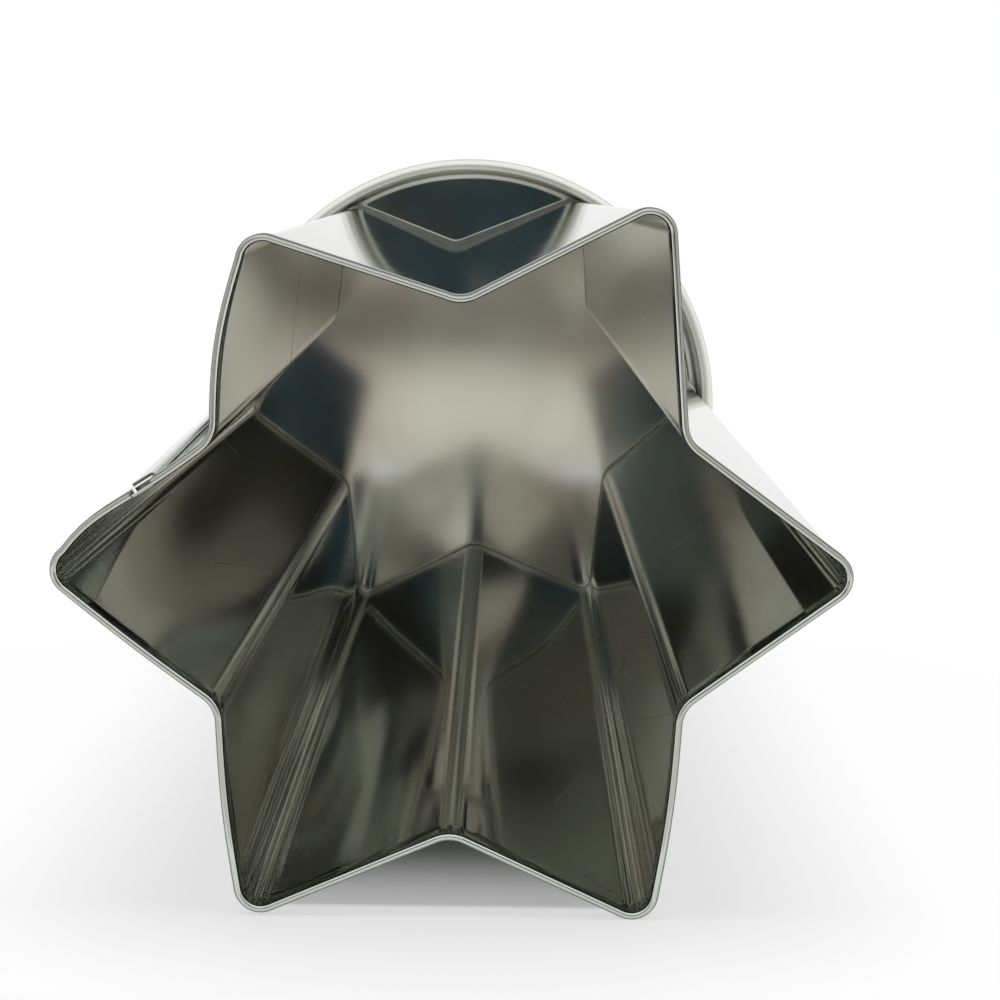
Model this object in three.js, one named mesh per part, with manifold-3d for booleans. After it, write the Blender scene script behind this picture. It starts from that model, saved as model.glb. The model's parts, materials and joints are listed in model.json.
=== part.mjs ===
// Star-section bread tube with a round push-on end cap, lying on its side on a flat surface.
// The tube's axis is Y in its own group: open end at y = 0, capped end at y = TUBE_LENGTH.
import * as THREE from 'three';
import { mergeVertices } from 'three/addons/utils/BufferGeometryUtils.js';
import Module from 'manifold-3d';

// Driving dimensions of the tube, in millimetres
const STAR_TIPS = 6;
const TUBE_LENGTH = 205;
const TIP_RADIUS = 37.6; // axis to the sheet's outer face at a tip
const NOTCH_RADIUS = 25.6; // axis to the sheet's outer face at the bottom of a notch
const TIP_BEND = 2.2; // bend radius on the outer face
const NOTCH_BEND = 3.4; // bend radius on the outer face, hollow side
const TUBE_SHEET = 0.3;
const HEM_GAP = 0.1; // slit left inside the folded hem
const HEM_DEPTH = 3.2;

// Lock seam along one wall, and the rim's cut at its ends
const SEAM_TIP = 4; // the wall is the one before this tip, counted from the lowest right tip
const SEAM_OFFSET = 0.5; // slit to the middle of the wall, towards its notch
const SEAM_WIDTH = 2.5;
const SEAM_GAP = 0.15;
const SEAM_RELIEF = 0.4; // from the hem's raw edge to the seam's end
const RIM_CLIP = 2.3; // width of hem cut away at the seam
const RIM_SLIT = 0.2;
const RIM_SLIT_DEPTH = 1.2;

// End cap
const CAP_SHEET = 0.35;
const CAP_SKIRT = 10; // plate's inner face to the open edge
const CAP_CORNER = 1.2; // inside radius between plate and skirt
const CAP_CLEARANCE = 0.3; // between the rear hem's tips and the skirt
const SEAT_CLEARANCE = 0.3; // between the rear hem and the plate
const CURL_DIAMETER = 2;
const CURL_MOUTH = 0.27; // gap between the curl's raw edge and the skirt

// Looks of the two pieces
const TUBE_FINISH = { color: 0xb4b5b1, roughness: 0.18, metalness: 1 };
const CAP_FINISH = { color: 0xb0b2b0, roughness: 0.16, metalness: 1 };

// Facets in the round stretches
const TIP_STEPS = 6;
const NOTCH_STEPS = 4;
const FOLD_STEPS = 6;
const SLIT_STEPS = 2;
const CORNER_STEPS = 4;
const CURL_STEPS = 11;
const CAP_SIDES = 64;

const wasm = await Module();
wasm.setup();

// Star outline: tip and notch arcs joined by straight walls that touch both
const tipStep = (2 * Math.PI) / STAR_TIPS;
const firstTip = -Math.PI / 2 + tipStep / 2;
const tipCentre = TIP_RADIUS - TIP_BEND;
const notchCentre = NOTCH_RADIUS + NOTCH_BEND;
const wallNormal = wallNormalAngle();

function wallNormalAngle() {
  const run = notchCentre * Math.cos(tipStep / 2) - tipCentre;
  const rise = notchCentre * Math.sin(tipStep / 2);
  return Math.atan2(rise, run) - Math.acos((TIP_BEND + NOTCH_BEND) / Math.hypot(run, rise));
}

function polar(radius, angle) {
  return new THREE.Vector2(radius * Math.cos(angle), radius * Math.sin(angle));
}

// Points around the star at a distance outside the sheet's outer face, as x and z
function starOutline(offset) {
  const points = [];
  for (let tip = 0; tip < STAR_TIPS; tip += 1) {
    const tipAngle = firstTip + tip * tipStep;
    const notchAngle = tipAngle + tipStep / 2;
    for (let i = 0; i <= TIP_STEPS; i += 1) {
      const normal = tipAngle + wallNormal * ((2 * i) / TIP_STEPS - 1);
      points.push(polar(tipCentre, tipAngle).add(polar(TIP_BEND + offset, normal)));
    }
    const turn = 2 * wallNormal - tipStep;
    for (let i = 0; i <= NOTCH_STEPS; i += 1) {
      const normal = tipAngle + wallNormal - (turn * i) / NOTCH_STEPS;
      points.push(polar(notchCentre, notchAngle).sub(polar(NOTCH_BEND - offset, normal)));
    }
  }
  return points;
}

const hemRadius = TUBE_SHEET + HEM_GAP / 2;
const hemOutside = HEM_GAP + TUBE_SHEET;

// Half circle of the hem's fold, as offset from the sheet's outer face and depth from the rim
function foldArc(radius, steps) {
  const points = [];
  for (let i = 0; i <= steps; i += 1) {
    const angle = (Math.PI * i) / steps;
    points.push({
      offset: HEM_GAP / 2 - radius * Math.cos(angle),
      depth: hemRadius - radius * Math.sin(angle),
    });
  }
  return points;
}

// One end of the sheet from its inner face round the fold and the hem's raw edge to its outer face
function hemProfile() {
  return [
    ...foldArc(hemRadius, FOLD_STEPS),
    { offset: hemOutside, depth: HEM_DEPTH },
    { offset: HEM_GAP, depth: HEM_DEPTH },
    ...foldArc(HEM_GAP / 2, SLIT_STEPS).reverse(),
  ];
}

function tubeProfile() {
  const front = hemProfile().map(({ offset, depth }) => ({ offset, y: depth }));
  const rear = hemProfile().map(({ offset, depth }) => ({ offset, y: TUBE_LENGTH - depth }));
  return [...front, ...rear.reverse()];
}

// Closed skin made by carrying the closed sheet profile round the closed star outline
function tubeGeometry() {
  const rings = tubeProfile().map(({ offset, y }) => starOutline(offset).map((p) => [p.x, y, p.y]));
  const around = rings[0].length;
  const index = [];
  for (let r = 0; r < rings.length; r += 1) {
    const next = (r + 1) % rings.length;
    for (let c = 0; c < around; c += 1) {
      const beside = (c + 1) % around;
      index.push(r * around + c, next * around + c, next * around + beside);
      index.push(r * around + c, next * around + beside, r * around + beside);
    }
  }
  const geometry = new THREE.BufferGeometry();
  geometry.setAttribute('position', new THREE.Float32BufferAttribute(rings.flat(2), 3));
  geometry.setIndex(index);
  return geometry;
}

// Frame of the seam: origin at the slit, x along the wall towards the tip, y out of it, z along the tube
function seamFrame() {
  const tipAngle = firstTip + SEAM_TIP * tipStep;
  const normalAngle = tipAngle - wallNormal;
  const nearTip = polar(tipCentre, tipAngle).add(polar(TIP_BEND, normalAngle));
  const nearNotch = polar(notchCentre, tipAngle - tipStep / 2).sub(polar(NOTCH_BEND, normalAngle));
  const middle = nearTip.add(nearNotch).divideScalar(2);
  const out = new THREE.Vector3(Math.cos(normalAngle), 0, Math.sin(normalAngle));
  const along = new THREE.Vector3(0, 1, 0);
  const across = new THREE.Vector3().crossVectors(out, along);
  const place = new THREE.Vector3(middle.x, 0, middle.y).addScaledVector(across, -SEAM_OFFSET);
  return new THREE.Matrix4().makeBasis(across, out, along).setPosition(place);
}

// Folded lap of the seam: a lower layer sunk into the wall, a slit, and an upper layer folded over it
function seamGeometry() {
  const height = 2 * TUBE_SHEET + SEAM_GAP;
  const foldAt = height / 2 - SEAM_WIDTH;
  const lap = new THREE.Shape();
  lap.moveTo(foldAt, -TUBE_SHEET / 2);
  lap.lineTo(0, -TUBE_SHEET / 2);
  lap.lineTo(0, TUBE_SHEET);
  lap.lineTo(foldAt, TUBE_SHEET);
  lap.absarc(foldAt, height / 2, SEAM_GAP / 2, -Math.PI / 2, Math.PI / 2, true);
  lap.lineTo(0, TUBE_SHEET + SEAM_GAP);
  lap.lineTo(0, height);
  lap.lineTo(foldAt, height);
  lap.absarc(foldAt, height / 2, height / 2, Math.PI / 2, (3 * Math.PI) / 2, false);
  const start = HEM_DEPTH + SEAM_RELIEF;
  const options = { depth: TUBE_LENGTH - 2 * start, bevelEnabled: false, curveSegments: FOLD_STEPS };
  return new THREE.ExtrudeGeometry(lap, options).translate(0, 0, start).applyMatrix4(seamFrame());
}

// Box in the seam's frame from lowest to highest corner
function seamBox(low, high) {
  const size = new THREE.Vector3().subVectors(high, low);
  const middle = new THREE.Vector3().addVectors(low, high).divideScalar(2);
  const box = new THREE.BoxGeometry(size.x, size.y, size.z).translate(middle.x, middle.y, middle.z);
  return box.applyMatrix4(seamFrame());
}

// Cuts at one end of the seam: the hem clipped away beside it, and the slit where the edges meet
function rimCuts(end, inward) {
  const past = end - inward * TUBE_SHEET;
  const clipEnd = end + inward * (HEM_DEPTH + SEAM_RELIEF / 2);
  const slitEnd = end + inward * RIM_SLIT_DEPTH;
  const above = hemOutside + TUBE_SHEET;
  const below = -2 * TUBE_SHEET;
  const clipLow = new THREE.Vector3(-RIM_CLIP, HEM_GAP / 2, Math.min(past, clipEnd));
  const clipHigh = new THREE.Vector3(RIM_SLIT / 2, above, Math.max(past, clipEnd));
  const slitLow = new THREE.Vector3(0, below, Math.min(past, slitEnd));
  const slitHigh = new THREE.Vector3(RIM_SLIT, above, Math.max(past, slitEnd));
  return [seamBox(clipLow, clipHigh), seamBox(slitLow, slitHigh)];
}

function solid(geometry) {
  const bare = geometry.clone();
  bare.deleteAttribute('normal');
  bare.deleteAttribute('uv');
  const merged = mergeVertices(bare);
  const vertProperties = new Float32Array(merged.attributes.position.array);
  const triVerts = new Uint32Array(merged.index.array);
  return new wasm.Manifold(new wasm.Mesh({ numProp: 3, vertProperties, triVerts }));
}

function solidGeometry(body) {
  const mesh = body.getMesh();
  const geometry = new THREE.BufferGeometry();
  geometry.setAttribute('position', new THREE.Float32BufferAttribute(mesh.vertProperties, mesh.numProp));
  geometry.setIndex(new THREE.Uint32BufferAttribute(mesh.triVerts, 1));
  geometry.computeVertexNormals();
  return geometry;
}

function namedMesh(name, geometry, finish) {
  const mesh = new THREE.Mesh(geometry, new THREE.MeshStandardMaterial(finish));
  mesh.name = name;
  return mesh;
}

function makeTubeShell() {
  let body = solid(tubeGeometry()).add(solid(seamGeometry()));
  for (const cut of [...rimCuts(0, 1), ...rimCuts(TUBE_LENGTH, -1)]) {
    body = body.subtract(solid(cut));
  }
  return namedMesh('tube_shell', solidGeometry(body), TUBE_FINISH);
}

const capInside = TIP_RADIUS + hemOutside + CAP_CLEARANCE;
const plateInside = TUBE_LENGTH + SEAT_CLEARANCE;
const plateOutside = plateInside + CAP_SHEET;
const capEdge = plateInside - CAP_SKIRT;
const curlRadius = CURL_DIAMETER / 2;
const curlCentre = new THREE.Vector2(capInside + curlRadius, capEdge + curlRadius);

function arc(centre, radius, from, to, steps) {
  const points = [];
  for (let i = 0; i <= steps; i += 1) {
    points.push(centre.clone().add(polar(radius, from + ((to - from) * i) / steps)));
  }
  return points;
}

// Half section of the cap from the axis on its inner face, round the curl, to the axis on its outer face
function makeEndCap() {
  const cornerCentre = new THREE.Vector2(capInside - CAP_CORNER, plateInside - CAP_CORNER);
  const mouth = (curlRadius - CAP_SHEET - CURL_MOUTH) / curlRadius;
  const curlEnd = 2 * Math.PI + Math.acos(-mouth);
  const profile = [
    new THREE.Vector2(0, plateInside),
    ...arc(cornerCentre, CAP_CORNER, Math.PI / 2, 0, CORNER_STEPS),
    ...arc(curlCentre, curlRadius, Math.PI, curlEnd, CURL_STEPS),
    ...arc(curlCentre, curlRadius - CAP_SHEET, curlEnd, Math.PI, CURL_STEPS),
    ...arc(cornerCentre, CAP_CORNER + CAP_SHEET, 0, Math.PI / 2, CORNER_STEPS),
    new THREE.Vector2(0, plateOutside),
  ];
  return namedMesh('end_cap', new THREE.LatheGeometry(profile, CAP_SIDES), CAP_FINISH);
}

// Tilt of the axis when the front rim's two lowest tips and the cap's curl stand on one plane
function restTilt() {
  const frontHeight = -(tipCentre * Math.cos(tipStep / 2) + TIP_BEND + HEM_GAP / 2);
  const alongAxis = curlCentre.y - hemRadius;
  const downAxis = -curlCentre.x - frontHeight;
  const reach = Math.hypot(alongAxis, downAxis);
  return Math.asin((curlRadius - hemRadius) / reach) - Math.atan2(downAxis, alongAxis);
}

const lying = new THREE.Group();
lying.rotation.x = restTilt();
lying.add(makeTubeShell(), makeEndCap());

// The origin is the middle of the underside
const breadTube = new THREE.Group();
breadTube.add(lying);
const reach = new THREE.Box3().setFromObject(breadTube, true);
lying.position.set(-(reach.min.x + reach.max.x) / 2, -(reach.min.y + reach.max.y) / 2, -reach.min.z);
breadTube.updateMatrixWorld(true);

export default breadTube;
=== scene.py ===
"""Star-section bread tube with its round end cap, on a white table with the open end to the camera."""
import json
import math

import bpy
from mathutils import Matrix, Vector


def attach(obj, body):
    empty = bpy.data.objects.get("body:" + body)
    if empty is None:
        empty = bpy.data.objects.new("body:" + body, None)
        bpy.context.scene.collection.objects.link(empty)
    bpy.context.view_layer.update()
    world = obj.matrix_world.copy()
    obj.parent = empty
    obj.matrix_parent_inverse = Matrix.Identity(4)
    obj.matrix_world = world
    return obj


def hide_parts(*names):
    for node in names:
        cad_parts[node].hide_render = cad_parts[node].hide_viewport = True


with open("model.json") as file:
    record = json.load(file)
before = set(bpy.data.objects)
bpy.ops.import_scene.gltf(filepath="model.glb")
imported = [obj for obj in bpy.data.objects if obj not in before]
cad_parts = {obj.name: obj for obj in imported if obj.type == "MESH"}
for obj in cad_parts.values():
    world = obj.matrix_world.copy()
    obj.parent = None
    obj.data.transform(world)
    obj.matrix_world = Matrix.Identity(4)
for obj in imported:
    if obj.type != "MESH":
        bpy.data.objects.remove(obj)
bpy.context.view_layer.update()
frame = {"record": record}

MM = 0.001

# Sizes of the tube and the cap, as in the part's source
STAR_TIPS = 6
TUBE_LENGTH = 205 * MM
TIP_RADIUS = 37.6 * MM
NOTCH_RADIUS = 25.6 * MM
TIP_BEND = 2.2 * MM
NOTCH_BEND = 3.4 * MM
TUBE_SHEET = 0.3 * MM
HEM_GAP = 0.1 * MM
HEM_DEPTH = 3.2 * MM
SEAM_TIP = 4
SEAM_OFFSET = 0.5 * MM
SEAM_WIDTH = 2.5 * MM
SEAM_GAP = 0.15 * MM
SEAM_RELIEF = 0.4 * MM
RIM_CLIP = 2.3 * MM
RIM_SLIT = 0.2 * MM
RIM_SLIT_DEPTH = 1.2 * MM
CAP_SHEET = 0.35 * MM
CAP_SKIRT = 10 * MM
CAP_CORNER = 1.2 * MM
CAP_CLEARANCE = 0.3 * MM
SEAT_CLEARANCE = 0.3 * MM
CURL_RADIUS = 1 * MM
CURL_MOUTH = 0.27 * MM

# Steps and small distances of the meshes
TIP_STEPS = 12
NOTCH_STEPS = 10
WALL_STEPS = 12
WALL_EDGE = 0.15 * MM
FOLD_STEPS = 10
SLIT_STEPS = 4
ROW_STEPS = 56
CORNER_STEPS = 8
SKIRT_POINTS = 2
CURL_STEPS = 28
CAP_SIDES = 256
PLATE_RINGS = 24
HEM_PRESSED = 0.01 * MM
CUT_SIDE = 0.01 * MM
SHARP_ANGLE = math.radians(50)

# How the tube has been bent in making and use: offsets in mm (right, up) of tips and notches at each end
RIM_TIP_SET = {0: (-0.1, 0.0), 2: (0.45, 1.35), 3: (-0.2, -1.55), 4: (0.1, -0.1), 5: (-0.2, 0.25)}
RIM_NOTCH_SET = {2: (0.55, 0.2), 3: (-0.75, -0.4), 4: (-0.15, -0.25), 5: (0.1, 0.25)}
REAR_TIP_SET = {4: (0.9, -0.3), 5: (-0.4, 0.2)}
REAR_NOTCH_SET = {
    0: (0.5, -0.7),
    1: (-1.5, 1.6),
    2: (-1.6, 0.3),
    3: (-0.4, 1.8),
    4: (0.4, -0.8),
    5: (0.0, 0.5),
}
TWIST = math.radians(2.4)

# Wall 2n runs from tip n to notch n, and wall 2n + 1 on to the next tip. A bow is widest at the rim:
# its size in mm, and a power that leans it towards the wall's end. A bulge in mm is widest halfway along.
WALL_BOW = {6: (0.7, 1), 7: (0.65, 2.3), 8: (0.15, 1), 9: (0.3, 1), 0: (0.3, 1)}
BOW_FADE = 0.9
WALL_BULGE = {6: -0.4, 7: 1.0, 8: 0.7, 9: -1.2, 10: 0.2, 11: 0.4}

# How much further the rear hem stands out at the notches, and how far the cap's plate is crowned
REAR_FLARE = 1.2
PLATE_CROWN = 0.42 * MM

# Where the tin is matt with a painted sheen, painted dark as shade on the rim's fold, stained or weathered:
# strengths from 0 to 1, and distances
# Matt tin, whose paler colour also paints a sheen: on the rear hem, inside the rear end and along the ridges
HEM_MATT_SHEEN = 0.45
REAR_MATT_SHEEN = 1.0
REAR_MATT_SHEEN_DEPTH = 9 * MM
RIDGE_MATT_SHEEN = 0.4
# Offsets out of the sheet over which the painted shade on the rim fold's outer edge comes in
RIM_SHADE_FROM = 0.2 * MM
RIM_SHADE_FULL = 0.38 * MM
STAIN_FROM = 7 * MM
STAIN_FULL = 20 * MM
CAP_WEATHER = 0.55

# The tube's own axes, and places that follow from the sizes
mount = frame["record"]["mounts"][0]
slide = frame["record"]["behaviour"]["joints"][0]
ALONG = Vector(slide["axis"]).normalized()
RIGHT = Vector((1, 0, 0))
UP = RIGHT.cross(ALONG)
PLATE_INSIDE = TUBE_LENGTH + SEAT_CLEARANCE
PLATE_OUTSIDE = PLATE_INSIDE + CAP_SHEET
RIM_MIDDLE = Vector(mount["pos_m"]) - ALONG * PLATE_OUTSIDE
TIP_STEP = 2 * math.pi / STAR_TIPS
FIRST_TIP = -math.pi / 2 + TIP_STEP / 2
TIP_CENTRE = TIP_RADIUS - TIP_BEND
NOTCH_CENTRE = NOTCH_RADIUS + NOTCH_BEND
HEM_RADIUS = TUBE_SHEET + HEM_GAP / 2
HEM_OUTSIDE = HEM_GAP + TUBE_SHEET
REAR_HEM = TUBE_LENGTH - HEM_DEPTH - SEAM_RELIEF / 2
SEAM_WALL = 2 * SEAM_TIP - 1
CAP_INSIDE = TIP_RADIUS + HEM_OUTSIDE + CAP_CLEARANCE
PLATE_RADIUS = CAP_INSIDE - CAP_CORNER


def to_world(right, along, up):
    """A point given in the tube's own axes, from the middle of its rim."""
    return RIM_MIDDLE + RIGHT * right + ALONG * along + UP * up


def polar(radius, angle):
    """A point in the plane of the star (right, up)."""
    return Vector((radius * math.cos(angle), radius * math.sin(angle)))


def arc(middle, radius, first, last, steps):
    """Points on an arc from the first angle to the last one."""
    return [middle + polar(radius, first + (last - first) * i / steps) for i in range(steps + 1)]


def rise(value, low, high):
    """0 below the low value and 1 above the high one, straight between."""
    return min(1.0, max(0.0, (value - low) / (high - low)))


def wall_normal_angle():
    """Angle between a tip's direction and the outward normal of the walls beside it."""
    across = NOTCH_CENTRE * math.cos(TIP_STEP / 2) - TIP_CENTRE
    upward = NOTCH_CENTRE * math.sin(TIP_STEP / 2)
    return math.atan2(upward, across) - math.acos((TIP_BEND + NOTCH_BEND) / math.hypot(across, upward))


WALL_NORMAL = wall_normal_angle()


def corner_set(corner, tips, notches):
    """Offset of a tip (even corners) or a notch (odd corners) at one end of the tube."""
    corner %= 2 * STAR_TIPS
    table = notches if corner % 2 else tips
    return Vector(table.get(corner // 2, (0, 0))) * MM


class Column:
    """One line along the tube: its place and normal on the sheet's outer face, and how it is bent."""

    def __init__(self, place, normal, wall, share, on_wall):
        self.place = place
        self.normal = polar(1, normal)
        self.wall = wall
        self.share = share
        self.on_wall = on_wall
        self.ridge = not on_wall and wall % 2 == 1
        self.end = "hem"

    def point(self, offset, along):
        """Where a point at an offset out of the sheet and a depth from the rim lies."""
        depth = along / TUBE_LENGTH
        if offset > 0 and along > REAR_HEM:
            offset *= 1 + REAR_FLARE * self.notch_share()
        flat = self.place + self.normal * offset + self.bend(depth)
        if self.on_wall:
            flat += self.normal * self.bow(depth)
        flat = Matrix.Rotation(TWIST * depth, 2) @ flat
        return to_world(flat.x, along, flat.y)

    def bend(self, depth):
        """Offset of the sheet in the plane of the star, between the tube's two ends."""
        rim = self.end_bend(RIM_TIP_SET, RIM_NOTCH_SET)
        rear = self.end_bend(REAR_TIP_SET, REAR_NOTCH_SET)
        return rim.lerp(rear, depth)

    def end_bend(self, tips, notches):
        """The same at one end, between the two corners of the wall."""
        first = corner_set(self.wall, tips, notches)
        return first.lerp(corner_set(self.wall + 1, tips, notches), self.share)

    def bow(self, depth):
        """How far the wall stands out by its bow and its bulge."""
        amount, lean = WALL_BOW.get(self.wall, (0, 1))
        near_rim = math.sin(math.pi * self.share ** lean) * amount * max(0.0, 1 - depth) ** BOW_FADE
        inside = math.sin(math.pi * self.share) * math.sin(math.pi * depth) * WALL_BULGE.get(self.wall, 0)
        return (near_rim + inside) * MM

    def notch_share(self):
        """1 at a notch and 0 at a tip."""
        return 1 - self.share if self.wall % 2 else self.share

    def soil(self, offset, along):
        """How far the sheet is painted dark as shade: only on the outer edge of the rim's fold."""
        if along > HEM_DEPTH:
            return 0.0
        return rise(offset, RIM_SHADE_FROM, RIM_SHADE_FULL) * (1 - along / HEM_DEPTH)

    def matt_sheen_share(self, offset, along):
        """How matt the tin is, with a painted sheen from its paler colour: on the rear hem, and inside along
        the ridges and near the rear end.
        """
        if offset >= 0:
            return HEM_MATT_SHEEN if along > REAR_HEM else 0.0
        dull = RIDGE_MATT_SHEEN * along / TUBE_LENGTH if self.ridge else 0.0
        return max(dull, REAR_MATT_SHEEN * (1 - (TUBE_LENGTH - along) / REAR_MATT_SHEEN_DEPTH))


def star_columns():
    """Columns round the star, from the lowest right tip counter-clockwise as seen from the open end."""
    columns = []
    turn = 2 * WALL_NORMAL - TIP_STEP
    for tip in range(STAR_TIPS):
        tip_angle = FIRST_TIP + tip * TIP_STEP
        tip_middle = polar(TIP_CENTRE, tip_angle)
        notch_middle = polar(NOTCH_CENTRE, tip_angle + TIP_STEP / 2)
        for i in range(TIP_STEPS + 1):
            normal = tip_angle + WALL_NORMAL * (2 * i / TIP_STEPS - 1)
            columns.append(Column(tip_middle + polar(TIP_BEND, normal), normal, 2 * tip, 0, False))
        columns += wall_columns(2 * tip)
        for i in range(NOTCH_STEPS + 1):
            normal = tip_angle + WALL_NORMAL - turn * i / NOTCH_STEPS
            columns.append(Column(notch_middle - polar(NOTCH_BEND, normal), normal, 2 * tip + 1, 0, False))
        columns += wall_columns(2 * tip + 1)
    return columns


def wall_ends(wall):
    """Where a wall's flat part starts and ends on the sheet's outer face, and the angle of its normal."""
    tip_angle = FIRST_TIP + (wall + 1) // 2 * TIP_STEP
    side = -1 if wall % 2 else 1
    normal = tip_angle + side * WALL_NORMAL
    at_tip = polar(TIP_CENTRE, tip_angle) + polar(TIP_BEND, normal)
    at_notch = polar(NOTCH_CENTRE, tip_angle + side * TIP_STEP / 2) - polar(NOTCH_BEND, normal)
    if wall % 2:
        return at_notch, at_tip, normal
    return at_tip, at_notch, normal


def wall_columns(wall):
    """Columns across a wall, with one close to each bend for flat shading and pairs at the rim's cuts."""
    start, end, normal = wall_ends(wall)
    length = (end - start).length
    edge = WALL_EDGE / length
    shares = [edge + (1 - 2 * edge) * i / WALL_STEPS for i in range(WALL_STEPS + 1)]
    if wall == SEAM_WALL:
        for cut in (-RIM_CLIP, 0, RIM_SLIT):
            shares += [seam_share(cut - CUT_SIDE, length), seam_share(cut + CUT_SIDE, length)]
        shares.sort()
    columns = [Column(start.lerp(end, share), normal, wall, share, True) for share in shares]
    if wall == SEAM_WALL:
        mark_rim_cuts(columns, length)
    return columns


def seam_share(across, length):
    """Share of the seam's wall at a distance across from the lap's straight side."""
    return 0.5 + (across - SEAM_OFFSET) / length


def mark_rim_cuts(columns, length):
    """Set which of the columns end in the rim's clip or in its slit."""
    for column in columns:
        across = (column.share - 0.5) * length + SEAM_OFFSET
        if -RIM_CLIP < across < 0:
            column.end = "clip"
        elif 0 < across < RIM_SLIT:
            column.end = "slit"


def hem_profile(end):
    """One end of the sheet, inner face to outer face, as offsets and depths from the rim."""
    fold = [math.pi * i / FOLD_STEPS for i in range(FOLD_STEPS + 1)]
    slit = [math.pi * i / SLIT_STEPS for i in range(SLIT_STEPS + 1)]
    if end == "hem":
        points = [fold_point(HEM_RADIUS, angle) for angle in fold]
        points += [(HEM_OUTSIDE, HEM_DEPTH), (HEM_PRESSED, HEM_DEPTH)]
        return points + [fold_point(HEM_GAP / 2, angle) for angle in reversed(slit)]
    front = RIM_SLIT_DEPTH if end == "slit" else 0
    half = TUBE_SHEET / 2
    points = [(-half - half * math.cos(angle), front + half - half * math.sin(angle)) for angle in fold]
    # A cut end has as many points as a hem, so that the columns join
    rest = len(slit) + 2
    spacing = (HEM_DEPTH - front) / rest
    return points + [(0, front + half + spacing * (i + 1)) for i in range(rest)]


def fold_point(radius, angle):
    """A point on the hem's fold, as an offset and a depth from the rim."""
    return HEM_GAP / 2 - radius * math.cos(angle), HEM_RADIUS - radius * math.sin(angle)


def tube_profile(end):
    """Closed run of the sheet's section: front end, outer face, rear end, inner face."""
    start = HEM_DEPTH + 2 * SEAM_RELIEF
    rows = [start + (TUBE_LENGTH - 2 * start) * i / ROW_STEPS for i in range(ROW_STEPS + 1)]
    front = hem_profile(end)
    rear = [(offset, TUBE_LENGTH - depth) for offset, depth in reversed(front)]
    outer = [(0, along) for along in rows]
    inner = [(-TUBE_SHEET, along) for along in reversed(rows)]
    return front + outer + rear + inner


def new_object(name, vertices, faces, body, marks):
    """A smooth skin that rides a body; each mark has a value from 0 to 1 for every vertex."""
    mesh = bpy.data.meshes.new(name)
    mesh.from_pydata(vertices, [], faces)
    mesh.validate()
    mesh.shade_smooth()
    mesh.set_sharp_from_angle(angle=SHARP_ANGLE)
    for mark, values in marks.items():
        mesh.attributes.new(mark, "FLOAT", "POINT").data.foreach_set("value", values)
    piece = bpy.data.objects.new(name, mesh)
    bpy.context.scene.collection.objects.link(piece)
    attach(piece, body)
    return piece


def closed_grid(rings):
    """Vertices and faces of a skin that closes on itself both ways."""
    around = len(rings[0])
    vertices = [point for ring in rings for point in ring]
    faces = []
    for r in range(len(rings)):
        beside = (r + 1) % len(rings)
        for c in range(around):
            ahead = (c + 1) % around
            faces.append((r * around + c, r * around + ahead, beside * around + ahead, beside * around + c))
    return vertices, faces


def make_tube():
    """The folded sheet: rubbed on its inner face and weathered on its outer one."""
    profiles = {end: tube_profile(end) for end in ("hem", "clip", "slit")}
    rings = []
    marks = {"dull": [], "soil": [], "rubbed": [], "weathered": []}
    for column in star_columns():
        profile = profiles[column.end]
        rings.append([column.point(offset, along) for offset, along in profile])
        for offset, along in profile:
            marks["dull"].append(column.matt_sheen_share(offset, along))
            marks["soil"].append(column.soil(offset, along))
            marks["rubbed"].append(1.0 if offset <= -TUBE_SHEET else 0.0)
            marks["weathered"].append(1.0 if offset >= 0 and along > HEM_DEPTH else 0.0)
    return new_object("tube_skin", *closed_grid(rings), "tube", marks)


def lap_section():
    """Outline of the seam's folded lap, as places across the wall and out of it."""
    height = 2 * TUBE_SHEET + SEAM_GAP
    fold = Vector((height / 2 - SEAM_WIDTH, height / 2))
    points = [(fold.x, -TUBE_SHEET / 2), (0, -TUBE_SHEET / 2), (0, TUBE_SHEET)]
    points += arc(fold, SEAM_GAP / 2, -math.pi / 2, -math.pi * 3 / 2, SLIT_STEPS)
    points += [(0, TUBE_SHEET + SEAM_GAP), (0, height)]
    return points + arc(fold, height / 2, math.pi / 2, math.pi * 3 / 2, FOLD_STEPS)


def make_seam():
    """The lap along its wall, following the wall's bend, with flat ends."""
    start, end, normal = wall_ends(SEAM_WALL)
    length = (end - start).length
    first = HEM_DEPTH + SEAM_RELIEF
    section = lap_section()
    vertices = []
    for row in range(ROW_STEPS + 1):
        along = first + (TUBE_LENGTH - 2 * first) * row / ROW_STEPS
        for across, out in section:
            share = seam_share(across, length)
            column = Column(start.lerp(end, share), normal, SEAM_WALL, share, True)
            vertices.append(column.point(out, along))
    count = len(section)
    faces = []
    for row in range(ROW_STEPS):
        for i in range(count):
            j = (i + 1) % count
            faces.append((row * count + i, (row + 1) * count + i, (row + 1) * count + j, row * count + j))
    faces.append(tuple(range(count)))
    faces.append(tuple(ROW_STEPS * count + i for i in reversed(range(count))))
    return new_object("seam_lap", vertices, faces, "tube", {"weathered": [1.0] * len(vertices)})


def crown(share):
    """How far the pressed plate bulges out at a share of its radius."""
    return PLATE_CROWN * (1 - share ** 2)


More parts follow.
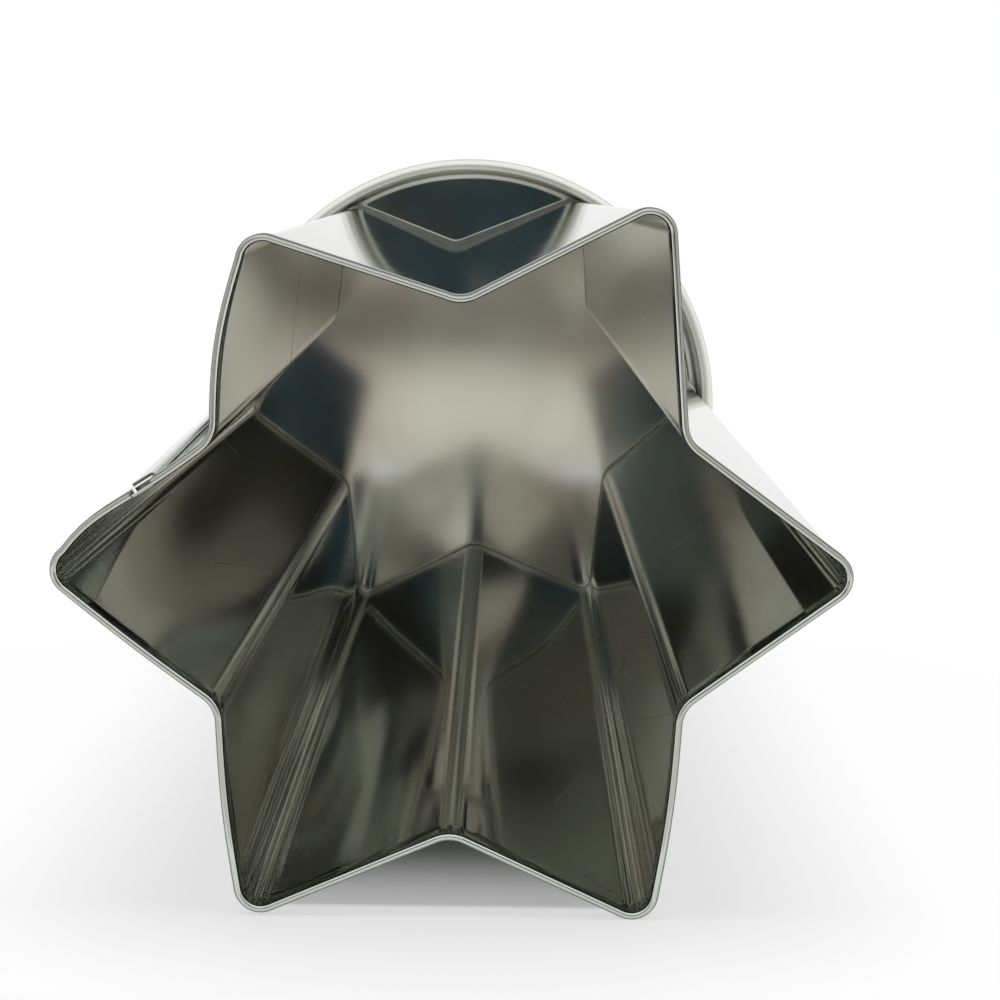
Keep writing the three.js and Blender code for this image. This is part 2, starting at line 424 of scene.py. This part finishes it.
def cap_profile():
    """Half section of the cap, from near the axis on its inner face round the curl to its outer face."""
    corner = Vector((PLATE_RADIUS, PLATE_INSIDE - CAP_CORNER))
    curl = Vector((CAP_INSIDE + CURL_RADIUS, PLATE_INSIDE - CAP_SKIRT + CURL_RADIUS))
    mouth = (CURL_RADIUS - CAP_SHEET - CURL_MOUTH) / CURL_RADIUS
    curl_end = 2 * math.pi + math.acos(-mouth)
    outside = CAP_INSIDE + CAP_SHEET
    radii = [corner.x * (i + 1) / PLATE_RINGS for i in range(PLATE_RINGS - 1)] + [corner.x - WALL_EDGE]
    plate_in = [Vector((radius, PLATE_INSIDE + crown(radius / corner.x))) for radius in radii]
    plate_out = [Vector((radius, PLATE_OUTSIDE + crown(radius / corner.x))) for radius in reversed(radii)]
    points = plate_in + arc(corner, CAP_CORNER, math.pi / 2, 0, CORNER_STEPS)
    points += [Vector((CAP_INSIDE, corner.y - WALL_EDGE)), Vector((CAP_INSIDE, curl.y + WALL_EDGE))]
    points += arc(curl, CURL_RADIUS, math.pi, curl_end, CURL_STEPS)
    points += arc(curl, CURL_RADIUS - CAP_SHEET, curl_end, math.pi, CURL_STEPS)
    points += [Vector((outside, curl.y + WALL_EDGE)), Vector((outside, corner.y - WALL_EDGE))]
    return points + arc(corner, CAP_CORNER + CAP_SHEET, 0, math.pi / 2, CORNER_STEPS) + plate_out


def make_cap():
    """The cap, turned from its profile: matt with a painted sheen inside the skirt and on the curl's front,
    weathered outside.
    """
    profile = cap_profile()
    count = len(profile)
    curl_front = PLATE_RINGS + CORNER_STEPS + 1 + SKIRT_POINTS + CURL_STEPS // 2
    vertices = []
    marks = {"dull": [], "stain": [], "weathered": []}
    for side in range(CAP_SIDES):
        angle = 2 * math.pi * side / CAP_SIDES
        for i, point in enumerate(profile):
            vertices.append(to_world(point.x * math.cos(angle), point.y, point.x * math.sin(angle)))
            marks["dull"].append(1.0 if point.x > PLATE_RADIUS and i < curl_front else 0.0)
            marks["stain"].append(rise(point.x, STAIN_FROM, STAIN_FULL) if i < PLATE_RINGS else 0.0)
            marks["weathered"].append(0.0 if i < curl_front else CAP_WEATHER)
    inner, outer = len(vertices), len(vertices) + 1
    vertices += [to_world(0, PLATE_INSIDE + crown(0), 0), to_world(0, PLATE_OUTSIDE + crown(0), 0)]
    marks["dull"] += [0.0, 0.0]
    marks["stain"] += [0.0, 0.0]
    marks["weathered"] += [0.0, CAP_WEATHER]
    faces = []
    for side in range(CAP_SIDES):
        here, there = side * count, (side + 1) % CAP_SIDES * count
        for i in range(count - 1):
            faces.append((here + i, there + i, there + i + 1, here + i + 1))
        faces.append((inner, there, here))
        faces.append((outer, here + count - 1, there + count - 1))
    return new_object("cap_skin", vertices, faces, "cap", marks)


class Graph:
    """The nodes of a material or a world, with short ways to add the kinds that are used often."""

    def __init__(self, owner):
        owner.use_nodes = True
        self.nodes = owner.node_tree.nodes
        self.links = owner.node_tree.links

    def feed(self, socket, value):
        """Join a socket to another one, or set it to a number or a colour."""
        if isinstance(value, bpy.types.NodeSocket):
            self.links.new(value, socket)
        else:
            socket.default_value = value

    def calculate(self, operation, first, second=0.0):
        """A Math node on two sockets or numbers."""
        node = self.nodes.new("ShaderNodeMath")
        node.operation = operation
        self.feed(node.inputs[0], first)
        self.feed(node.inputs[1], second)
        return node.outputs["Value"]

    def one_minus(self, value):
        """1 less the value."""
        return self.calculate("SUBTRACT", 1.0, value)

    def map_range(self, value, low, high, least=0.0, most=1.0, curve="LINEAR"):
        """A value carried from one range into another and kept inside it."""
        node = self.nodes.new("ShaderNodeMapRange")
        node.interpolation_type = curve
        self.feed(node.inputs["Value"], value)
        self.feed(node.inputs["From Min"], low)
        self.feed(node.inputs["From Max"], high)
        self.feed(node.inputs["To Min"], least)
        self.feed(node.inputs["To Max"], most)
        return node.outputs["Result"]

    def smooth_step(self, value, low, high):
        """0 below the low value and 1 above the high one, with a soft rise between."""
        return self.map_range(value, low, high, curve="SMOOTHSTEP")

    def blend(self, factor, first, second):
        """A colour between two others, which are sockets or plain colours."""
        node = self.nodes.new("ShaderNodeMix")
        node.data_type = "RGBA"
        self.feed(node.inputs["Factor"], factor)
        self.feed(node.inputs["A"], first)
        self.feed(node.inputs["B"], second)
        return node.outputs["Result"]

    def place(self):
        """Coordinates on the object itself, in metres."""
        return self.nodes.new("ShaderNodeTexCoord").outputs["Object"]

    def axes(self):
        """The same coordinates as three sockets, X, Y and Z."""
        node = self.nodes.new("ShaderNodeSeparateXYZ")
        self.feed(node.inputs["Vector"], self.place())
        return node.outputs

    def noise(self, place, scale, detail=0.0, distortion=0.0):
        """A cloudy value from 0 to 1, mostly near 0.5, at a scale in clouds per metre."""
        node = self.nodes.new("ShaderNodeTexNoise")
        self.feed(node.inputs["Vector"], place)
        self.feed(node.inputs["Scale"], scale)
        self.feed(node.inputs["Detail"], detail)
        self.feed(node.inputs["Distortion"], distortion)
        return node.outputs["Fac"]

    def mark(self, name):
        """The values that the mesh has under a mark's name, or 0 if it has none."""
        node = self.nodes.new("ShaderNodeAttribute")
        node.attribute_name = name
        return node.outputs["Fac"]

    def seen_directly(self):
        """1 for rays from the camera, mirrors and glass, and 0 for the rest."""
        path = self.nodes.new("ShaderNodeLightPath").outputs
        seen = self.calculate("MAXIMUM", path["Is Camera Ray"], path["Is Glossy Ray"])
        return self.calculate("MAXIMUM", seen, path["Is Transmission Ray"])


# Colours and gloss of the tin
TIN = (0.643, 0.668, 0.638)
CAP_TIN = (0.70, 0.72, 0.69)
# Paler colour of matt tin, which also paints a sheen on the cap's ring, the ridges and the rear end
MATT_SHEEN_TIN = (0.86, 0.86, 0.80)
# Painted shade: the dark outline along the outer edge of the rim's fold
RIM_SHADE_DARK = (0.06, 0.06, 0.055)
EDGE_TINT = (0.80, 0.80, 0.79)
TIN_SPECULAR = 0.1
TUBE_ROUGHNESS = 0.042
CAP_ROUGHNESS = 0.075
DULL_ROUGHNESS = 0.3

# Smudges all over: what they leave of the colour, and how they change the gloss
SMUDGE_SCALE = 38
SMUDGE_DETAIL = 5
SMUDGE_DISTORTION = 0.6
SMUDGE_TINT = (0.93, 0.93, 0.93)
SMUDGE_FROM = 0.3
SMUDGE_FULL = 0.75
GLOSS_LEAST = 0.85
GLOSS_MOST = 1.3

# Stains on the plate's inner face
STAIN_TINT = (0.80, 0.735, 0.72)
STAIN_SCALE = 55
STAIN_DETAIL = 2
STAIN_CLOUD_FROM = 0.35
STAIN_CLOUD_FULL = 0.6

# Streaks on the outer faces, by their number in a metre to the right, along and up
STREAK_TINT = (0.80, 0.81, 0.81)
STREAKS = (75, 9, 75)
STREAK_DETAIL = 5
STREAK_DISTORTION = 0.4
STREAK_FROM = 0.35
STREAK_FULL = 0.7

# Scratches on the tube's inner face
SCRATCH_LEVEL = 0.5
SCRATCH_SCALE = 12
SCRATCH_HALF = 0.0012
SCRATCH_PATCH_SCALE = 60
SCRATCH_PATCH_FROM = 0.54
SCRATCH_PATCH_FULL = 0.60
SCRATCH_ROUGHNESS = 0.3


def opaque(color, tint=(1, 1, 1)):
    """A colour times a tint, with full alpha."""
    return (*[part * share for part, share in zip(color, tint)], 1)


def scratches(graph, place):
    """1 on short hairlines, which follow one level of a noise inside the patches of another."""
    level = graph.calculate("SUBTRACT", graph.noise(place, SCRATCH_SCALE), SCRATCH_LEVEL)
    beside = graph.smooth_step(graph.calculate("ABSOLUTE", level), SCRATCH_HALF / 2, SCRATCH_HALF)
    patches = graph.noise(place, SCRATCH_PATCH_SCALE)
    patch = graph.smooth_step(patches, SCRATCH_PATCH_FROM, SCRATCH_PATCH_FULL)
    return graph.calculate("MULTIPLY", graph.one_minus(beside), patch)


def stains(graph, place):
    """Clouds from 0 to 1."""
    clouds = graph.noise(place, STAIN_SCALE, STAIN_DETAIL)
    return graph.smooth_step(clouds, STAIN_CLOUD_FROM, STAIN_CLOUD_FULL)


def streaks(graph, place):
    """Clouds from 0 to 1 that are drawn out along the tube."""
    stretch = graph.nodes.new("ShaderNodeVectorMath")
    stretch.operation = "MULTIPLY"
    graph.feed(stretch.inputs[0], place)
    graph.feed(stretch.inputs[1], STREAKS)
    clouds = graph.noise(stretch.outputs["Vector"], 1, STREAK_DETAIL, STREAK_DISTORTION)
    return graph.smooth_step(clouds, STREAK_FROM, STREAK_FULL)


def tinplate(name, color, roughness):
    """Bright tinplate with smudges, and with the wear, the painted sheen of matt places and the painted
    shade on the rim's fold that the marks of a mesh ask for.
    """
    material = bpy.data.materials.new(name)
    graph = Graph(material)
    shader = graph.nodes["Principled BSDF"].inputs
    shader["Specular IOR Level"].default_value = TIN_SPECULAR
    shader["Specular Tint"].default_value = opaque(EDGE_TINT)
    place = graph.place()
    dull = graph.mark("dull")
    soil = graph.mark("soil")
    smudges = graph.noise(place, SMUDGE_SCALE, SMUDGE_DETAIL, SMUDGE_DISTORTION)

    streaked = graph.calculate("MULTIPLY", graph.mark("weathered"), streaks(graph, place))
    stained = graph.calculate("MULTIPLY", graph.mark("stain"), stains(graph, place))
    tone = graph.blend(smudges, opaque(color, SMUDGE_TINT), opaque(color))
    tone = graph.blend(streaked, tone, opaque(color, STREAK_TINT))
    tone = graph.blend(stained, tone, opaque(color, STAIN_TINT))
    # Matt places take a paler colour: a painted sheen as well as the real roughness
    tone = graph.blend(dull, tone, opaque(MATT_SHEEN_TIN))
    # The rim fold's outer edge is painted dark as shade, and made rough and not metallic
    tone = graph.blend(soil, tone, opaque(RIM_SHADE_DARK))
    graph.feed(shader["Base Color"], tone)
    graph.feed(shader["Metallic"], graph.one_minus(soil))

    least, most = roughness * GLOSS_LEAST, roughness * GLOSS_MOST
    rough = graph.map_range(smudges, SMUDGE_FROM, SMUDGE_FULL, least, most)
    matt = graph.calculate("MULTIPLY", dull, DULL_ROUGHNESS)
    rough = graph.calculate("ADD", matt, rough)
    lines = graph.calculate("MULTIPLY", scratches(graph, place), SCRATCH_ROUGHNESS)
    lines = graph.calculate("MULTIPLY", lines, graph.mark("rubbed"))
    rough = graph.calculate("ADD", rough, lines)
    graph.feed(shader["Roughness"], graph.calculate("MAXIMUM", rough, soil))
    return material


# The table, its glow and the shade under the tube, by distance behind the rim: the real shadow there is
# painted deeper where the glow is held back in a strip
FLOOR_REACH = 3.0
TABLE_WHITE = (0.93, 0.93, 0.93)
PAPER_ROUGHNESS = 0.6
TABLE_GLOW = 0.6
SHADE_GLOW = 0.32
SHADE_HALF = 19 * MM
SHADE_EDGE = 2 * MM
SHADE_FROM = 5 * MM
SHADE_DEEP = 31 * MM
SHADE_END = 55 * MM
SHADE_GONE = 110 * MM

# The card in front of the mouth and the wings beside it, seen only by the metal: painted reflections of the
# room's shade, its dark things and its light
CARD_NEAR = 130 * MM
CARD_FAR = 370 * MM
CARD_HALF = 85 * MM
CARD_TOP = 118 * MM
CARD_LIFT = 0.5 * MM
CARD_ROUGHNESS = 1.0
WING_REACH = 600 * MM
WING_TOP = 220 * MM
# Grey that the metal mirrors beside the card: a painted reflection of the room's sides
WING_PAINT = (0.55, 0.55, 0.49)

# Paint of the card by distance along its run, over the table and then up: the table's painted shade, growing
# darker towards the camera, then dark slate and olive things above it
CARD_REFLECTION_TONES = (
    (130 * MM, (0.68, 0.655, 0.58)),
    (200 * MM, (0.72, 0.69, 0.61)),
    (260 * MM, (0.72, 0.69, 0.61)),
    (300 * MM, (0.55, 0.53, 0.46)),
    (335 * MM, (0.41, 0.40, 0.34)),
    (366 * MM, (0.20, 0.195, 0.17)),
    (378 * MM, (0.24, 0.235, 0.20)),
    (386 * MM, (0.41, 0.39, 0.325)),
    (390 * MM, (0.45, 0.43, 0.36)),
    (396 * MM, (0.12, 0.12, 0.105)),
    (425 * MM, (0.10, 0.12, 0.115)),
    (450 * MM, (0.11, 0.115, 0.105)),
    (462 * MM, (0.20, 0.20, 0.16)),
    (520 * MM, (0.30, 0.30, 0.25)),
)
# Soft patches over it, painted reflections of dark things and of one bright light: middle (right, run), half
# sizes and paint
CARD_REFLECTION_PATCHES = (
    ((36 * MM, 426 * MM), (42 * MM, 26 * MM), (0.028, 0.028, 0.024)),
    ((-5 * MM, 422 * MM), (16 * MM, 24 * MM), (0.034, 0.060, 0.073)),
    ((-40 * MM, 399 * MM), (20 * MM, 13 * MM), (0.95, 0.93, 0.82)),
    ((31 * MM, 387 * MM), (12 * MM, 9 * MM), (0.60, 0.58, 0.48)),
)
PATCH_EDGE = 7 * MM


def plain(name, color, roughness):
    """Paint of one colour."""
    material = bpy.data.materials.new(name)
    shader = Graph(material).nodes["Principled BSDF"].inputs
    shader["Base Color"].default_value = opaque(color)
    shader["Roughness"].default_value = roughness
    return material


def soft_band(graph, value, middle, half):
    """1 near the middle and 0 past the half size, with a soft edge."""
    away = graph.calculate("ABSOLUTE", graph.calculate("SUBTRACT", value, middle))
    return graph.one_minus(graph.smooth_step(away, half - PATCH_EDGE / 2, half + PATCH_EDGE / 2))


def painted_reflection_card():
    """Painted reflection of the room: warm white on the table, darkening as painted shade, to slate and
    olive above the camera.
    """
    material = bpy.data.materials.new("painted_reflection_card")
    graph = Graph(material)
    shader = graph.nodes["Principled BSDF"].inputs
    shader["Roughness"].default_value = CARD_ROUGHNESS
    shader["Specular IOR Level"].default_value = 0.0
    axes = graph.axes()
    run = graph.calculate("SUBTRACT", axes["Z"], axes["Y"])
    first, last = CARD_REFLECTION_TONES[0][0], CARD_REFLECTION_TONES[-1][0]
    ramp = graph.nodes.new("ShaderNodeValToRGB")
    graph.feed(ramp.inputs["Fac"], graph.map_range(run, first, last))
    stops = ramp.color_ramp.elements
    while len(stops) < len(CARD_REFLECTION_TONES):
        stops.new(1.0)
    for stop, (distance, color) in zip(stops, CARD_REFLECTION_TONES):
        stop.position = (distance - first) / (last - first)
        stop.color = opaque(color)
    paint = ramp.outputs["Color"]
    for (right, along), (half_right, half_along), color in CARD_REFLECTION_PATCHES:
        across = soft_band(graph, axes["X"], right, half_right)
        upward = soft_band(graph, run, along, half_along)
        paint = graph.blend(graph.calculate("MULTIPLY", across, upward), paint, opaque(color))
    graph.feed(shader["Base Color"], paint)
    return material


def table_white():
    """White paper, partly lit from within for the camera and the metal, but less so in a strip under the
    tube, which paints the tube's shadow deeper.
    """
    material = plain("table_white", TABLE_WHITE, PAPER_ROUGHNESS)
    graph = Graph(material)
    axes = graph.axes()
    # Painted shadow: under the tube the glow is held back in a fixed strip and fades to nothing deeper
    # behind the rim
    behind = graph.calculate("SUBTRACT", axes["Y"], RIM_MIDDLE.y + SHADE_FROM)
    between = graph.calculate("SUBTRACT", SHADE_HALF, graph.calculate("ABSOLUTE", axes["X"]))
    beside = graph.smooth_step(between, 0.0, SHADE_EDGE)
    under = graph.calculate("MULTIPLY", beside, graph.smooth_step(behind, 0.0, SHADE_EDGE))
    gone = graph.smooth_step(behind, SHADE_END, SHADE_GONE)
    under = graph.calculate("MULTIPLY", under, graph.one_minus(gone))
    fade = graph.one_minus(graph.smooth_step(behind, 0.0, SHADE_DEEP))
    shade_glow = graph.calculate("MULTIPLY", fade, SHADE_GLOW)
    open_glow = graph.calculate("MULTIPLY", graph.one_minus(under), TABLE_GLOW)
    level = graph.calculate("ADD", graph.calculate("MULTIPLY", under, shade_glow), open_glow)
    glow = graph.nodes.new("ShaderNodeEmission")
    glow.inputs["Strength"].default_value = 1.0
    mix = graph.nodes.new("ShaderNodeMixShader")
    graph.feed(mix.inputs["Fac"], graph.calculate("MULTIPLY", level, graph.seen_directly()))
    graph.feed(mix.inputs[1], graph.nodes["Principled BSDF"].outputs["BSDF"])
    graph.feed(mix.inputs[2], glow.outputs["Emission"])
    graph.feed(graph.nodes["Material Output"].inputs["Surface"], mix.outputs["Shader"])
    return material


def stage_plane(name, corners, material):
    """A flat part of the stage, which is no part of the object."""
    mesh = bpy.data.meshes.new(name)
    mesh.from_pydata(corners, [], [(0, 1, 2, 3)])
    plane = bpy.data.objects.new(name, mesh)
    plane.data.materials.append(material)
    bpy.context.scene.collection.objects.link(plane)
    return plane


def level_corners(reach, front, back, height):
    """Corners of a level plane."""
    return [(-reach, front, height), (reach, front, height), (reach, back, height), (-reach, back, height)]


def upright_corners(left, right, top):
    """Corners of an upright plane at the card's far end."""
    places = ((left, CARD_LIFT), (right, CARD_LIFT), (right, top), (left, top))
    return [(across, -CARD_FAR, height) for across, height in places]


def make_stage():
    """A white table, and a card painted with reflections of the room's shade and light, with grey wings,
    before the mouth, which only the metal mirrors.
    """
    stage_plane("table", level_corners(FLOOR_REACH, -FLOOR_REACH, FLOOR_REACH, 0), table_white())
    paint = painted_reflection_card()
    grey = plain("wing_paint", WING_PAINT, CARD_ROUGHNESS)
    cards = [
        stage_plane("card_foot", level_corners(CARD_HALF, -CARD_FAR, -CARD_NEAR, CARD_LIFT), paint),
        stage_plane("card_back", upright_corners(-CARD_HALF, CARD_HALF, CARD_TOP), paint),
        stage_plane("left_wing", upright_corners(-CARD_HALF, -WING_REACH, WING_TOP), grey),
        stage_plane("right_wing", upright_corners(CARD_HALF, WING_REACH, WING_TOP), grey),
    ]
    for card in cards:
        card.visible_camera = False
        card.visible_diffuse = False
        card.visible_shadow = False


SKY_LIGHT = 0.5
SUN_STRENGTH = 1.85
SUN_SPREAD = math.radians(45)
SUN_LEAN = math.radians(-8)
MIRROR_BOUNCES = 12


def make_light():
    """An even white surround, dimmer as a light than to the eye, and a wide soft lamp from above."""
    world = bpy.data.worlds.new("studio")
    bpy.context.scene.world = world
    graph = Graph(world)
    graph.nodes.clear()
    sky = graph.nodes.new("ShaderNodeBackground")
    sky.inputs["Color"].default_value = (1, 1, 1, 1)
    level = graph.map_range(graph.seen_directly(), 0.0, 1.0, SKY_LIGHT, 1.0)
    graph.feed(sky.inputs["Strength"], level)
    output = graph.nodes.new("ShaderNodeOutputWorld")
    graph.feed(output.inputs["Surface"], sky.outputs["Background"])

    lamp = bpy.data.lights.new("overhead", "SUN")
    lamp.energy = SUN_STRENGTH
    lamp.angle = SUN_SPREAD
    holder = bpy.data.objects.new("overhead", lamp)
    holder.rotation_euler = (SUN_LEAN, 0, 0)
    holder.visible_glossy = False
    bpy.context.scene.collection.objects.link(holder)


# Camera, measured from the middle of the rim in the tube's own axes
CAMERA_RIGHT = 3.6 * MM
CAMERA_ABOVE = 36.9 * MM
CAMERA_BEFORE = 253.3 * MM
CAMERA_PAN = math.radians(0.206)
CAMERA_PITCH = math.radians(6.715)
CAMERA_ROLL = math.radians(0.757)
CAMERA_NEAREST = 10 * MM
FOCAL_PIXELS = 2715
PHOTO_SIDE = 1000
SENSOR = 36.0


def make_camera():
    """The photo's camera, turned by its pan, its pitch and its roll in that order."""
    data = bpy.data.cameras.new("photo_camera")
    data.sensor_width = SENSOR
    data.lens = FOCAL_PIXELS / PHOTO_SIDE * SENSOR
    data.clip_start = CAMERA_NEAREST
    camera = bpy.data.objects.new("photo_camera", data)
    heading = ALONG * math.cos(CAMERA_PAN) + RIGHT * math.sin(CAMERA_PAN)
    level_right = heading.cross(UP)
    ahead = heading * math.cos(CAMERA_PITCH) - UP * math.sin(CAMERA_PITCH)
    level_up = level_right.cross(ahead)
    right = level_right * math.cos(CAMERA_ROLL) + level_up * math.sin(CAMERA_ROLL)
    upward = right.cross(ahead)
    turn = Matrix((right, upward, -ahead)).transposed()
    place = to_world(CAMERA_RIGHT, -CAMERA_BEFORE, CAMERA_ABOVE)
    camera.matrix_world = Matrix.Translation(place) @ turn.to_4x4()
    bpy.context.scene.collection.objects.link(camera)
    bpy.context.scene.camera = camera


def dress(piece, material):
    """Give a piece its material."""
    piece.data.materials.append(material)


make_camera()
make_light()
make_stage()

tube_metal = tinplate("tube_tinplate", TIN, TUBE_ROUGHNESS)
cap_metal = tinplate("cap_tinplate", CAP_TIN, CAP_ROUGHNESS)
tube = make_tube()
dress(tube, tube_metal)
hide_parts("tube_shell")
dress(make_seam(), tube_metal)
cap = make_cap()
dress(cap, cap_metal)
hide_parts("end_cap")

bpy.context.scene.view_settings.view_transform = "Standard"
bpy.context.scene.cycles.glossy_bounces = MIRROR_BOUNCES
